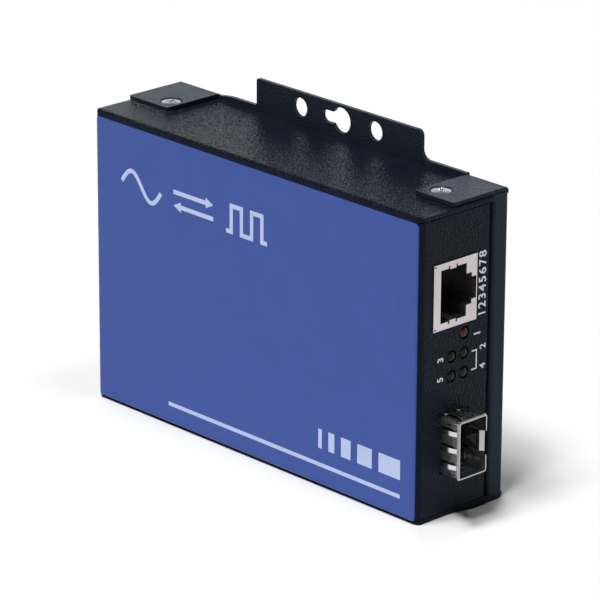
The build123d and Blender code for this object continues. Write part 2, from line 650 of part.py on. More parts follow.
JACK_INNER_X = JACK_FACE_X - JACK_SHEET - FIT
with BuildPart() as rj45_insert:
    inner = JACK_WIDTH / 2 - JACK_SHEET - FIT
    block(
        (JACK_BACK_X, JACK_INNER_X),
        (JACK_TOP_Y + JACK_SHEET + FIT, BOARD_Y - JACK_SHEET - FIT),
        (JACK_Z - inner, JACK_Z + inner),
    )
    with BuildSketch(Plane.YZ.offset(JACK_INNER_X)):
        jack_opening()
    extrude(amount=-JACK_CAVITY_DEPTH, mode=Mode.SUBTRACT)

with BuildPart() as rj45_contacts:
    contact_y = JACK_TOP_Y + JACK_OPENING_TOP + CONTACT_WIRE / 2
    start_x = JACK_FACE_X - CONTACT_START
    for way in range(CONTACT_WAYS):
        wire_z = JACK_Z + (way - (CONTACT_WAYS - 1) / 2) * CONTACT_PITCH
        with BuildSketch(Plane.XY.offset(wire_z - CONTACT_WIRE / 2)):
            with BuildLine():
                FilletPolyline(
                    (start_x, contact_y),
                    (start_x - CONTACT_FLAT, contact_y),
                    (start_x - CONTACT_FLAT - CONTACT_RUN, contact_y + CONTACT_DROP),
                    radius=CONTACT_BEND,
                )
            trace(line_width=CONTACT_WIRE)
        extrude(amount=CONTACT_WIRE)

# Transceiver cage: windows under the fingers, latch tongue in the floor, legs down to the board
with BuildPart() as sfp_cage:
    with BuildSketch(Plane.YZ.offset(CAGE_BACK_X)):
        with Locations((CAGE_MID_Y, CAGE_Z)):
            RectangleRounded(CAGE_HEIGHT, CAGE_WIDTH, CAGE_CORNER)
    extrude(amount=CAGE_LENGTH)
    offset(amount=-CAGE_SHEET, openings=sfp_cage.faces().sort_by(Axis.X)[-1])
    floor_span = (CAGE_FLOOR_Y - CAGE_SHEET, CAGE_FLOOR_Y)
    latch_room = LATCH_WIDTH / 2 + LATCH_SLIT
    socket_room = SOCKET_WIDTH / 2 + SOCKET_CLEARANCE
    latch_root_x = CAGE_MOUTH_X - LATCH_LENGTH
    block(
        (latch_root_x, CAGE_MOUTH_X), floor_span, (CAGE_Z - latch_room, CAGE_Z + latch_room),
        mode=Mode.SUBTRACT,
    )
    block(
        (CAGE_BACK_X + CAGE_SHEET, SOCKET_FACE_X + SOCKET_CLEARANCE),
        floor_span,
        (CAGE_Z - socket_room, CAGE_Z + socket_room),
        mode=Mode.SUBTRACT,
    )
    window_xs = (FINGER_XS[1] - FINGER_SLIT, BAND_BACK_X - FINGER_SLIT)
    window_half = FINGER_WIDTH / 2 + FINGER_SLIT
    top_span = (CAGE_TOP_Y, CAGE_TOP_Y + CAGE_SHEET)
    for y_span, places in ((top_span, TOP_FINGER_ZS), (floor_span, FLOOR_FINGER_ZS)):
        for place in places:
            block(window_xs, y_span, (place - window_half, place + window_half), mode=Mode.SUBTRACT)
    for side in (-1, 1):
        wall_z = CAGE_Z + side * CAGE_WIDTH / 2
        for place in SIDE_FINGER_YS:
            block(
                window_xs,
                (place - window_half, place + window_half),
                (wall_z - side * CAGE_SHEET, wall_z),
                mode=Mode.SUBTRACT,
            )
        seam_z = wall_z - side * CAGE_SEAM_INSET
        block(window_xs, top_span, (seam_z - CAGE_SEAM, seam_z), mode=Mode.SUBTRACT)
    with BuildSketch(Plane.XY.offset(CAGE_Z - LATCH_WIDTH / 2)):
        floor_y = CAGE_FLOOR_Y - CAGE_SHEET / 2
        with BuildLine():
            Polyline(
                (latch_root_x, floor_y),
                (CAGE_MOUTH_X - LATCH_TIP, floor_y),
                (CAGE_MOUTH_X - LATCH_SETBACK, floor_y + LATCH_KICK),
            )
        trace(line_width=CAGE_SHEET)
    extrude(amount=LATCH_WIDTH)
    with BuildSketch(Plane.XZ.offset(-CAGE_FLOOR_Y)):
        hole_x = CAGE_MOUTH_X - LATCH_HOLE_SETBACK
        with BuildLine():
            Polyline(
                (hole_x, CAGE_Z - LATCH_HOLE / 2),
                (hole_x, CAGE_Z + LATCH_HOLE / 2),
                (hole_x - LATCH_HOLE, CAGE_Z),
                close=True,
            )
        make_face()
    extrude(amount=CAGE_SHEET, mode=Mode.SUBTRACT)
    for leg in range(LEG_COUNT):
        leg_x = INNER_FRONT_X - LEG_SETBACK - leg * LEG_PITCH
        for side in (-1, 1):
            wall_z = CAGE_Z + side * CAGE_WIDTH / 2
            block(
                (leg_x - LEG_WIDTH, leg_x),
                (CAGE_FLOOR_Y - 2 * CAGE_CORNER, BOARD_Y),
                (wall_z - side * CAGE_SHEET, wall_z),
            )

# Spring-finger collar: a band round the mouth and bowed fingers that run back into the panel
with BuildPart() as sfp_collar:
    with BuildSketch(Plane.YZ.offset(BAND_BACK_X)):
        with Locations((CAGE_MID_Y, CAGE_Z)):
            RectangleRounded(
                CAGE_HEIGHT + 2 * COLLAR_SHEET, CAGE_WIDTH + 2 * COLLAR_SHEET, CAGE_CORNER + COLLAR_SHEET
            )
            RectangleRounded(CAGE_HEIGHT, CAGE_WIDTH, CAGE_CORNER, mode=Mode.SUBTRACT)
    extrude(amount=COLLAR_BAND)
    block(
        (BAND_BACK_X, BAND_FRONT_X),
        (CAGE_FLOOR_Y, CAGE_FLOOR_Y + COLLAR_SHEET),
        (CAGE_Z - latch_room, CAGE_Z + latch_room),
        mode=Mode.SUBTRACT,
    )
    finger_xs = (FINGER_XS[0], sum(FINGER_XS) / 2, FINGER_XS[1])
    for wall_y, side, places in ((CAGE_TOP_Y, -1, TOP_FINGER_ZS), (CAGE_FLOOR_Y, 1, FLOOR_FINGER_ZS)):
        root_y = wall_y + side * COLLAR_SHEET / 2
        for place in places:
            with BuildSketch(Plane.XY.offset(place - FINGER_WIDTH / 2)):
                with BuildLine():
                    ThreePointArc(
                        (finger_xs[0], root_y),
                        (finger_xs[1], root_y + side * FINGER_BOW),
                        (finger_xs[2], root_y + side * FIT),
                    )
                trace(line_width=COLLAR_SHEET)
            extrude(amount=FINGER_WIDTH)
    for side in (-1, 1):
        root_z = CAGE_Z + side * (CAGE_WIDTH + COLLAR_SHEET) / 2
        for place in SIDE_FINGER_YS:
            with BuildSketch(Plane.XZ.offset(FINGER_WIDTH / 2 - place)):
                with BuildLine():
                    ThreePointArc(
                        (finger_xs[0], root_z),
                        (finger_xs[1], root_z + side * FINGER_BOW),
                        (finger_xs[2], root_z + side * FIT),
                    )
                trace(line_width=COLLAR_SHEET)
            extrude(amount=-FINGER_WIDTH)

# Card-edge socket inside the cage
with BuildPart() as sfp_connector:
    block(
        (SOCKET_X, SOCKET_FACE_X),
        (BOARD_Y - SOCKET_HEIGHT, BOARD_Y),
        (CAGE_Z - SOCKET_WIDTH / 2, CAGE_Z + SOCKET_WIDTH / 2),
    )
    with BuildSketch(Plane.YZ.offset(SOCKET_FACE_X)):
        with Locations((SOCKET_SLOT_Y, CAGE_Z)):
            Rectangle(SOCKET_SLOT_HEIGHT, SOCKET_SLOT_WIDTH)
    extrude(amount=-SOCKET_SLOT_DEPTH, mode=Mode.SUBTRACT)

with BuildPart() as sfp_contacts:
    contact_back = SOCKET_FACE_X - SOCKET_SLOT_DEPTH
    for side in (-1, 1):
        slot_wall = SOCKET_SLOT_Y + side * SOCKET_SLOT_HEIGHT / 2
        for way in range(SOCKET_WAYS):
            way_z = CAGE_Z + (way - (SOCKET_WAYS - 1) / 2) * SOCKET_PITCH
            block(
                (contact_back, contact_back + SOCKET_CONTACT_LENGTH),
                (slot_wall - side * SOCKET_CONTACT_SHEET, slot_wall),
                (way_z - SOCKET_CONTACT_WIDTH / 2, way_z + SOCKET_CONTACT_WIDTH / 2),
            )


def lamp(y, z):
    """One round lamp with a domed tip, lying along X."""
    shank = LAMP_LENGTH - LAMP_RADIUS
    with Locations((LAMP_FRONT_X - LAMP_RADIUS - shank / 2, y, z)):
        Cylinder(LAMP_RADIUS, shank, rotation=(0, 90, 0))
    with Locations((LAMP_FRONT_X - LAMP_RADIUS, y, z)):
        Sphere(LAMP_RADIUS)


with BuildPart() as fault_led:
    for place in FAULT_LAMP:
        lamp(*place)

with BuildPart() as link_leds:
    for place in LINK_LAMPS:
        lamp(*place)

# Lamp holders: one block a row, bored for its lamps
with BuildPart() as led_holders:
    for row_z, far_y in zip(LAMP_ROWS, (LAMP_NEAR_Y, LAMP_FAR_Y, LAMP_FAR_Y)):
        block(
            (HOLDER_FACE_X - HOLDER_LENGTH, HOLDER_FACE_X),
            (far_y - LAMP_RADIUS - HOLDER_WALL, BOARD_Y),
            (row_z - HOLDER_WIDTH / 2, row_z + HOLDER_WIDTH / 2),
        )
    with BuildSketch(Plane.YZ.offset(HOLDER_FACE_X)):
        with Locations(*FAULT_LAMP, *LINK_LAMPS):
            Circle(LAMP_RADIUS + FIT)
    extrude(amount=-(LAMP_LENGTH - (LAMP_FRONT_X - HOLDER_FACE_X)), mode=Mode.SUBTRACT)

# Power inlet header, with a key slot over each way
with BuildPart() as power_header:
    block(
        (REAR_X, INLET_BACK_X), (BOARD_Y - INLET_HEIGHT, BOARD_Y),
        (INLET_Z - INLET_WIDTH / 2, INLET_Z + INLET_WIDTH / 2),
    )
    with BuildSketch(REAR_PLANE):
        with Locations((INLET_Y, INLET_Z)):
            Rectangle(INLET_HEIGHT - 2 * INLET_WALL, INLET_CAVITY_WIDTH)
    extrude(amount=INLET_CAVITY_DEPTH, mode=Mode.SUBTRACT)
    with BuildSketch(REAR_PLANE):
        with Locations((BOARD_Y - INLET_HEIGHT + INLET_WALL / 2, INLET_Z)):
            with GridLocations(0, INLET_PITCH, 1, INLET_WAYS):
                Rectangle(INLET_WALL, INLET_KEY_WIDTH)
    extrude(amount=INLET_KEY_DEPTH, mode=Mode.SUBTRACT)
    with BuildSketch(REAR_PLANE):
        with Locations((INLET_Y, INLET_Z)):
            with GridLocations(0, INLET_PITCH, 1, INLET_WAYS):
                Rectangle(PIN_SIZE + 2 * FIT, PIN_SIZE + 2 * FIT)
    extrude(amount=INLET_LENGTH, mode=Mode.SUBTRACT)

with BuildPart() as power_pins:
    for way in range(INLET_WAYS):
        pin_z = INLET_Z + (way - (INLET_WAYS - 1) / 2) * INLET_PITCH
        with BuildSketch(Plane.XY.offset(pin_z - PIN_SIZE / 2)):
            with BuildLine():
                FilletPolyline(
                    (REAR_X + PIN_SETBACK, INLET_Y),
                    (INLET_BACK_X + PIN_TAIL, INLET_Y),
                    (INLET_BACK_X + PIN_TAIL, BOARD_Y),
                    radius=PIN_BEND,
                )
            trace(line_width=PIN_SIZE)
        extrude(amount=PIN_SIZE)

# Set-up switch: case with a slot for each lever
with BuildPart() as dip_case:
    block(
        (SWITCH_FACE_X, SWITCH_FACE_X + SWITCH_LENGTH),
        (BOARD_Y - SWITCH_HEIGHT, BOARD_Y),
        (SWITCH_Z - SWITCH_WIDTH / 2, SWITCH_Z + SWITCH_WIDTH / 2),
    )
    with BuildSketch(Plane.YZ.offset(SWITCH_FACE_X)):
        with Locations((SWITCH_Y, SWITCH_Z)):
            with GridLocations(0, SWITCH_PITCH, 1, SWITCH_WAYS):
                Rectangle(SWITCH_SLOT_LENGTH, SWITCH_SLOT_WIDTH)
    extrude(amount=SWITCH_SLOT_DEPTH, mode=Mode.SUBTRACT)

# Switch levers at rest at the board end of their slots
dip_levers = {}
lever_end_y = SWITCH_Y + SWITCH_SLOT_LENGTH / 2 - LEVER_CLEARANCE
lever_half = SWITCH_SLOT_WIDTH / 2 - LEVER_CLEARANCE
for number, lever_z in enumerate(LEVER_ZS, start=1):
    with BuildPart() as dip_lever:
        block(
            (SWITCH_FACE_X - LEVER_PROUD, SWITCH_FACE_X + SWITCH_SLOT_DEPTH - LEVER_CLEARANCE),
            (lever_end_y - LEVER_LENGTH, lever_end_y),
            (lever_z - lever_half, lever_z + lever_half),
        )
    dip_levers[f"dip_lever_{number}"] = dip_lever

# Parts on the board
BRIDGE_X = MID_X + BRIDGE_SHIFT
BRIDGE_Z = BASE_Z + BRIDGE_RISE
with BuildPart() as lan_transformer:
    transformer_x = JACK_BACK_X - TRANSFORMER_GAP - TRANSFORMER_SIZE[0] / 2
    package(transformer_x, JACK_Z, TRANSFORMER_SIZE, TRANSFORMER_LEAD_COUNT)

with BuildPart() as bridge_chip:
    package(BRIDGE_X, BRIDGE_Z, BRIDGE_SIZE, BRIDGE_LEAD_COUNT, BRIDGE_LEAD_COUNT)

with BuildPart() as memory_chip:
    package(BRIDGE_X, BRIDGE_Z + CHIP_SPACING, MEMORY_SIZE, CHIP_LEAD_COUNT)

with BuildPart() as regulator_chip:
    package(REAR_X + REGULATOR_INSET, INLET_Z, REGULATOR_SIZE, CHIP_LEAD_COUNT)

with BuildPart() as crystal_can:
    with BuildSketch(BOARD_PLANE):
        with Locations((BRIDGE_X, BRIDGE_Z - CHIP_SPACING)):
            SlotOverall(CRYSTAL_LENGTH, CRYSTAL_WIDTH)
    extrude(amount=CRYSTAL_BASE)
    with BuildSketch(BOARD_PLANE.offset(CRYSTAL_BASE)):
        with Locations((BRIDGE_X, BRIDGE_Z - CHIP_SPACING)):
            SlotOverall(CRYSTAL_LENGTH - 2 * CRYSTAL_BASE, CRYSTAL_WIDTH - 2 * CRYSTAL_BASE)
    extrude(amount=CRYSTAL_HEIGHT - CRYSTAL_BASE)
    fillet(crystal_can.edges().group_by(Axis.Y)[0], CRYSTAL_BASE)

with BuildPart() as power_inductor:
    with BuildSketch(BOARD_PLANE):
        with Locations((REAR_X + INDUCTOR_INSET, INLET_Z)):
            RectangleRounded(INDUCTOR_SIZE, INDUCTOR_SIZE, INDUCTOR_CORNER)
    extrude(amount=INDUCTOR_HEIGHT)
    chamfer(power_inductor.edges().group_by(Axis.Y)[0], INDUCTOR_EDGE)

with BuildPart() as capacitor:
    with BuildSketch(Plane.XZ):
        with BuildLine():
            groove_r = CAPACITOR_RADIUS - CAPACITOR_GROOVE
            Polyline(
                (0, 0),
                (CAPACITOR_RADIUS, 0),
                (CAPACITOR_RADIUS, CAPACITOR_BASE - CAPACITOR_GROOVE),
                (groove_r, CAPACITOR_BASE),
                (CAPACITOR_RADIUS, CAPACITOR_BASE + CAPACITOR_GROOVE),
                (CAPACITOR_RADIUS, CAPACITOR_HEIGHT - CAPACITOR_GROOVE),
                (groove_r, CAPACITOR_HEIGHT),
                (0, CAPACITOR_HEIGHT),
                close=True,
            )
        make_face()
    revolve(axis=Axis.Z)

with BuildPart() as bulk_capacitors:
    can_zs = [
        BASE_Z + CAPACITOR_RISE + (can - (CAPACITOR_COUNT - 1) / 2) * CAPACITOR_PITCH
        for can in range(CAPACITOR_COUNT)
    ]
    with Locations(*[Plane((REAR_X + CAPACITOR_INSET, BOARD_Y, z), z_dir=(0, -1, 0)) for z in can_zs]):
        add(capacitor.part)

with BuildPart() as input_fuse:
    package(REAR_X + REGULATOR_INSET, BASE_Z + FUSE_RISE, FUSE_SIZE, 0)
    chamfer(input_fuse.edges().group_by(Axis.Y)[0], FUSE_EDGE)

pieces = {
    "cover_shell": cover_shell,
    "back_plate": back_plate,
    "face_label": face_label,
    "cover_screws": cover_screws,
    "circuit_board": circuit_board,
    "board_standoffs": board_standoffs,
    "board_screws": board_screws,
    "rj45_shield": rj45_shield,
    "rj45_insert": rj45_insert,
    "rj45_contacts": rj45_contacts,
    "lan_transformer": lan_transformer,
    "sfp_cage": sfp_cage,
    "sfp_collar": sfp_collar,
    "sfp_connector": sfp_connector,
    "sfp_contacts": sfp_contacts,
    "fault_led": fault_led,
    "link_leds": link_leds,
    "led_holders": led_holders,
    "bridge_chip": bridge_chip,
    "memory_chip": memory_chip,
    "regulator_chip": regulator_chip,
    "crystal_can": crystal_can,
    "power_inductor": power_inductor,
    "bulk_capacitors": bulk_capacitors,
    "input_fuse": input_fuse,
    "power_header": power_header,
    "power_pins": power_pins,
    "dip_case": dip_case,
    **dip_levers,
}
os.makedirs("parts", exist_ok=True)
for node, piece in pieces.items():
    piece.part.label = node
    export_step(piece.part, f"parts/{node}.step")
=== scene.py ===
"""Looks of the fibre media converter: finishes, print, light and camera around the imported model."""
import math

import bmesh
import bpy
from mathutils import Matrix, Vector

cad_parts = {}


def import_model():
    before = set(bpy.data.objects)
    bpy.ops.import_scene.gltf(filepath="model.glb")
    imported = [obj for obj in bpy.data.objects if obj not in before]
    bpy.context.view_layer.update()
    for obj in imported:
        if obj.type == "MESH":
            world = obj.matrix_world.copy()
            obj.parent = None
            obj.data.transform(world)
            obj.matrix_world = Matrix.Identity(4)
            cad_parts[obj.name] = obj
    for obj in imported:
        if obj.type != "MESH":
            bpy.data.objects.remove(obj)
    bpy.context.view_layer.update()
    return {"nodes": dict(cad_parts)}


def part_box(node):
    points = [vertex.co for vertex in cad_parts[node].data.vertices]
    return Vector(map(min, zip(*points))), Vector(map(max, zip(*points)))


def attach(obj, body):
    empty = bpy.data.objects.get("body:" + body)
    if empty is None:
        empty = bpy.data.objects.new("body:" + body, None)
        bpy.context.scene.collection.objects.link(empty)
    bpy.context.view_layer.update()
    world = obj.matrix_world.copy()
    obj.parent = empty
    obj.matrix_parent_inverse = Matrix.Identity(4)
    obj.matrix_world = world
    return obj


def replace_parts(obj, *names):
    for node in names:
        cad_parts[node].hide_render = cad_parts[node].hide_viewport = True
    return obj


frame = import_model()
nodes = frame["nodes"]
MM = 0.001

# Places taken from the model
LABEL_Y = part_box("face_label")[0].y
CASE_LOW, CASE_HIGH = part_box("cover_shell")
JACK_LOW, JACK_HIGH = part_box("rj45_shield")
LAMPS_LOW, LAMPS_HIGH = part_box("link_leds")
FAULT_LOW, FAULT_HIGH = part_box("fault_led")

# Finishes: the noise's usual range, slow changes of tone, and rounded edges
NOISE_LOW, NOISE_HIGH = 0.3, 0.7
TONE_GRAIN_MM = 6.0
TONE_DETAIL = 2.0
GRAIN_DETAIL = 3.0
PEBBLE_SMOOTHNESS = 0.4
EDGE_SAMPLES = 6


def shader(name):
    """A new node material: itself, its nodes, its links and its main shader."""
    material = bpy.data.materials.new(name)
    material.use_nodes = True
    tree = material.node_tree
    return material, tree.nodes, tree.links, tree.nodes["Principled BSDF"]


def grain_place(tree_nodes, links, grain_mm):
    """The object's own coordinates, in units of a grain of that many millimetres."""
    place = tree_nodes.new("ShaderNodeTexCoord")
    mapping = tree_nodes.new("ShaderNodeMapping")
    mapping.inputs["Scale"].default_value = [1 / (grain_mm * MM)] * 3
    links.new(place.outputs["Object"], mapping.inputs["Vector"])
    return mapping.outputs["Vector"]


def noise(tree_nodes, links, grain_mm, detail):
    """Noise whose grain is that many millimetres."""
    texture = tree_nodes.new("ShaderNodeTexNoise")
    texture.inputs["Scale"].default_value = 1.0
    texture.inputs["Detail"].default_value = detail
    links.new(grain_place(tree_nodes, links, grain_mm), texture.inputs["Vector"])
    return texture.outputs["Fac"]


def pebbles(tree_nodes, links, grain_mm):
    """Rounded pebbles of that size, from low joints to high crowns."""
    texture = tree_nodes.new("ShaderNodeTexVoronoi")
    texture.feature = "SMOOTH_F1"
    texture.inputs["Scale"].default_value = 1.0
    texture.inputs["Smoothness"].default_value = PEBBLE_SMOOTHNESS
    links.new(grain_place(tree_nodes, links, grain_mm), texture.inputs["Vector"])
    crown = tree_nodes.new("ShaderNodeMath")
    crown.operation = "SUBTRACT"
    crown.inputs[0].default_value = 1.0
    links.new(texture.outputs["Distance"], crown.inputs[1])
    return crown.outputs[0]


def ramp(tree_nodes, links, value, low, high, start=NOISE_LOW, end=NOISE_HIGH):
    """Colours from low to high as the value goes from start to end."""
    colours = tree_nodes.new("ShaderNodeValToRGB")
    first, last = colours.color_ramp.elements
    first.position, last.position = start, end
    first.color, last.color = (*low, 1), (*high, 1)
    links.new(value, colours.inputs["Fac"])
    return colours.outputs["Color"]


def spread(tree_nodes, links, value, low, high):
    """A number from low to high as the noise goes through its usual range."""
    span = tree_nodes.new("ShaderNodeMapRange")
    span.inputs["From Min"].default_value = NOISE_LOW
    span.inputs["From Max"].default_value = NOISE_HIGH
    span.inputs["To Min"].default_value = low
    span.inputs["To Max"].default_value = high
    links.new(value, span.inputs["Value"])
    return span.outputs["Result"]


def finish_of(
    name, low, high, rough, grain_mm, relief_mm, metallic=0.0, level=0.5, tint=(1, 1, 1),
    edge_mm=0.0, detail=GRAIN_DETAIL, pebble_mm=0.0,
):
    """A finish with a slow change of tone, a fine grain in gloss and relief, and rounded edges."""
    material, tree_nodes, links, main = shader(name)
    main.inputs["Metallic"].default_value = metallic
    main.inputs["Specular IOR Level"].default_value = level
    main.inputs["Specular Tint"].default_value = (*tint, 1)
    tone = noise(tree_nodes, links, TONE_GRAIN_MM, TONE_DETAIL)
    links.new(ramp(tree_nodes, links, tone, low, high), main.inputs["Base Color"])
    grain = noise(tree_nodes, links, grain_mm, detail)
    links.new(spread(tree_nodes, links, grain, *rough), main.inputs["Roughness"])
    relief = tree_nodes.new("ShaderNodeBump")
    relief.inputs["Strength"].default_value = 1.0
    relief.inputs["Distance"].default_value = relief_mm * MM
    if pebble_mm:
        both = tree_nodes.new("ShaderNodeMath")
        links.new(grain, both.inputs[0])
        links.new(pebbles(tree_nodes, links, pebble_mm), both.inputs[1])
        links.new(both.outputs[0], relief.inputs["Height"])
    else:
        links.new(grain, relief.inputs["Height"])
    if edge_mm:
        edge = tree_nodes.new("ShaderNodeBevel")
        edge.samples = EDGE_SAMPLES
        edge.inputs["Radius"].default_value = edge_mm * MM
        links.new(edge.outputs["Normal"], relief.inputs["Normal"])
    links.new(relief.outputs["Normal"], main.inputs["Normal"])
    return material


# Each finish: its darker and lighter tone, its range of roughness, its grain and its relief
FINISH_VALUES = {
    "case_black": dict(
        low=(0.0062, 0.0085, 0.0150), high=(0.0078, 0.0104, 0.0176), rough=(0.06, 0.12),
        grain_mm=0.50, relief_mm=0.11, level=0.068, tint=(0.50, 0.75, 1.0),
        edge_mm=0.12, detail=1.0, pebble_mm=0.52,
    ),
    # Same black paint as the case, with painted light: the lighter tone stands in for the frontal
    # light on the plate's flange
    "plate_black_painted_light": dict(
        low=(0.020, 0.027, 0.043), high=(0.023, 0.031, 0.048), rough=(0.08, 0.14),
        grain_mm=0.35, relief_mm=0.08, level=0.05, tint=(0.65, 0.83, 1.0),
        edge_mm=0.05, detail=1.0, pebble_mm=0.4,
    ),
    "label_blue": dict(
        low=(0.022, 0.069, 0.338), high=(0.026, 0.076, 0.364), rough=(0.38, 0.46),
        grain_mm=0.3, relief_mm=0.004, level=0.4,
    ),
    "print_white": dict(
        low=(0.74, 0.80, 0.94), high=(0.80, 0.86, 0.98), rough=(0.42, 0.55),
        grain_mm=0.12, relief_mm=0.004,
    ),
    "print_pale": dict(
        low=(0.53, 0.62, 0.90), high=(0.57, 0.66, 0.95), rough=(0.42, 0.55),
        grain_mm=0.12, relief_mm=0.004,
    ),
    "screw_steel": dict(
        low=(0.52, 0.52, 0.54), high=(0.66, 0.66, 0.68), rough=(0.16, 0.28),
        grain_mm=0.30, relief_mm=0.004, metallic=1.0,
    ),
    "jack_plate": dict(
        low=(0.52, 0.47, 0.48), high=(0.60, 0.54, 0.56), rough=(0.26, 0.38),
        grain_mm=0.3, relief_mm=0.006, metallic=1.0, edge_mm=0.08,
    ),
    "cage_steel": dict(
        low=(0.42, 0.42, 0.42), high=(0.50, 0.50, 0.50), rough=(0.26, 0.34),
        grain_mm=0.6, relief_mm=0.002, metallic=1.0, edge_mm=0.03,
    ),
    "spring_steel": dict(
        low=(0.62, 0.61, 0.60), high=(0.72, 0.71, 0.70), rough=(0.16, 0.22),
        grain_mm=0.6, relief_mm=0.002, metallic=1.0, edge_mm=0.05,
    ),
    "plastic_black": dict(
        low=(0.015, 0.017, 0.021), high=(0.022, 0.025, 0.030), rough=(0.38, 0.52),
        grain_mm=0.15, relief_mm=0.006, edge_mm=0.08,
    ),
    "plastic_green": dict(
        low=(0.010, 0.16, 0.055), high=(0.016, 0.21, 0.075), rough=(0.32, 0.46),
        grain_mm=0.15, relief_mm=0.01, edge_mm=0.1,
    ),
    "plastic_red": dict(
        low=(0.42, 0.018, 0.014), high=(0.52, 0.026, 0.020), rough=(0.30, 0.42),
        grain_mm=0.15, relief_mm=0.008, edge_mm=0.08,
    ),
    "plastic_white": dict(
        low=(0.68, 0.67, 0.63), high=(0.78, 0.77, 0.73), rough=(0.32, 0.44),
        grain_mm=0.12, relief_mm=0.006, edge_mm=0.08,
    ),
    "contact_gold": dict(
        low=(0.72, 0.50, 0.20), high=(0.86, 0.62, 0.28), rough=(0.18, 0.30),
        grain_mm=0.1, relief_mm=0.003, metallic=1.0,
    ),
    "pin_tin": dict(
        low=(0.62, 0.62, 0.60), high=(0.76, 0.76, 0.74), rough=(0.22, 0.34),
        grain_mm=0.12, relief_mm=0.004, metallic=1.0,
    ),
    "lamp_red": dict(
        low=(0.045, 0.006, 0.008), high=(0.065, 0.009, 0.011), rough=(0.16, 0.24),
        grain_mm=0.3, relief_mm=0.003, level=0.25,
    ),
    "lamp_green": dict(
        low=(0.002, 0.010, 0.006), high=(0.003, 0.015, 0.009), rough=(0.16, 0.24),
        grain_mm=0.3, relief_mm=0.003, level=0.15,
    ),
    "board_green": dict(
        low=(0.008, 0.075, 0.030), high=(0.012, 0.105, 0.042), rough=(0.28, 0.42),
        grain_mm=0.4, relief_mm=0.006,
    ),
    "standoff_steel": dict(
        low=(0.55, 0.55, 0.54), high=(0.68, 0.68, 0.66), rough=(0.24, 0.36),
        grain_mm=0.2, relief_mm=0.005, metallic=1.0,
    ),
    "can_aluminium": dict(
        low=(0.70, 0.70, 0.71), high=(0.82, 0.82, 0.83), rough=(0.22, 0.34),
        grain_mm=0.15, relief_mm=0.004, metallic=1.0,
    ),
    "ferrite_grey": dict(
        low=(0.055, 0.055, 0.058), high=(0.085, 0.085, 0.088), rough=(0.50, 0.66),
        grain_mm=0.25, relief_mm=0.02,
    ),
}
FINISHES = {name: finish_of(name, **values) for name, values in FINISH_VALUES.items()}

# Finish of each piece of the model
NODE_FINISH = {
    "cover_shell": "case_black",
    "back_plate": "plate_black_painted_light",
    "face_label": "label_blue",
    "cover_screws": "screw_steel",
    "circuit_board": "board_green",
    "board_standoffs": "standoff_steel",
    "board_screws": "standoff_steel",
    "rj45_shield": "jack_plate",
    "rj45_insert": "plastic_black",
    "rj45_contacts": "contact_gold",
    "lan_transformer": "plastic_black",
    "sfp_cage": "cage_steel",
    "sfp_collar": "spring_steel",
    "sfp_connector": "plastic_black",
    "sfp_contacts": "contact_gold",
    "fault_led": "lamp_red",
    "link_leds": "lamp_green",
    "led_holders": "plastic_black",
    "bridge_chip": "plastic_black",
    "memory_chip": "plastic_black",
    "regulator_chip": "plastic_black",
    "crystal_can": "can_aluminium",
    "power_inductor": "ferrite_grey",
    "bulk_capacitors": "can_aluminium",
    "input_fuse": "plastic_white",
    "power_header": "plastic_green",
    "power_pins": "pin_tin",
    "dip_case": "plastic_red",
    "dip_lever_1": "plastic_white",
    "dip_lever_2": "plastic_white",
    "dip_lever_3": "plastic_white",
    "dip_lever_4": "plastic_white",
}
for name, node in nodes.items():
    node.data.materials.clear()
    node.data.materials.append(FINISHES[NODE_FINISH[name]])


def add_piece(name, mesh, finish):
    """A new mesh piece that rides on the housing."""
    piece = bpy.data.objects.new(name, mesh)
    bpy.context.scene.collection.objects.link(piece)
    mesh.materials.append(FINISHES[finish])
    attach(piece, "housing")
    return piece


# Print: thin plates that lie just clear of the surface below
PRINT_THICKNESS = 0.02 * MM
PRINT_LIFT = 0.004 * MM
STROKE_CORNER_LIMIT = 0.5


def flat_mesh(name, outlines, to_world):
    """Thin closed plates from flat outlines, in millimetres, laid in place by a matrix."""
    work = bmesh.new()
    for outline in outlines:
        corners = [work.verts.new((u * MM, v * MM, PRINT_LIFT)) for u, v in outline]
        raised = bmesh.ops.extrude_face_region(work, geom=[work.faces.new(corners)])
        top = [item for item in raised["geom"] if isinstance(item, bmesh.types.BMVert)]
        bmesh.ops.translate(work, verts=top, vec=(0, 0, PRINT_THICKNESS))
    bmesh.ops.recalc_face_normals(work, faces=work.faces)
    bmesh.ops.transform(work, matrix=to_world, verts=work.verts)
    mesh = bpy.data.meshes.new(name)
    work.to_mesh(mesh)
    work.free()
    return mesh


def stroke(points, width):
    """Outline of a line of that width along open points, with square ends."""
    left, right = [], []
    count = len(points)
    for index, point in enumerate(points):
        before = Vector(points[max(index - 1, 0)])
        here = Vector(point)
        after = Vector(points[min(index + 1, count - 1)])
        into = (here - before) if index else (after - here)
        out = (after - here) if index < count - 1 else into
        into.normalize()
        out.normalize()
        tangent = (into + out).normalized()
        reach = width / 2 / max(STROKE_CORNER_LIMIT, tangent.dot(into))
        side = Vector((-tangent.y, tangent.x)) * reach
        left.append(tuple(here + side))
        right.append(tuple(here - side))
    return left + right[::-1]


def rectangle(start, end, low, high):
    """Outline of a rectangle between two places along the line and two across it."""
    return [(start, low), (end, low), (end, high), (start, high)]


# Label face: u along +X, v along +Z, seen from -Y
LABEL_TO_WORLD = Matrix(
    ((1, 0, 0, 0), (0, 0, -1, LABEL_Y), (0, 1, 0, 0), (0, 0, 0, 1))
)
# Front panel print reads upwards: u along +Z, v towards -Y, seen from +X
PANEL_TO_WORLD = Matrix(
    ((0, 0, 1, CASE_HIGH.x), (0, -1, 0, 0), (1, 0, 0, 0), (0, 0, 0, 1))
)

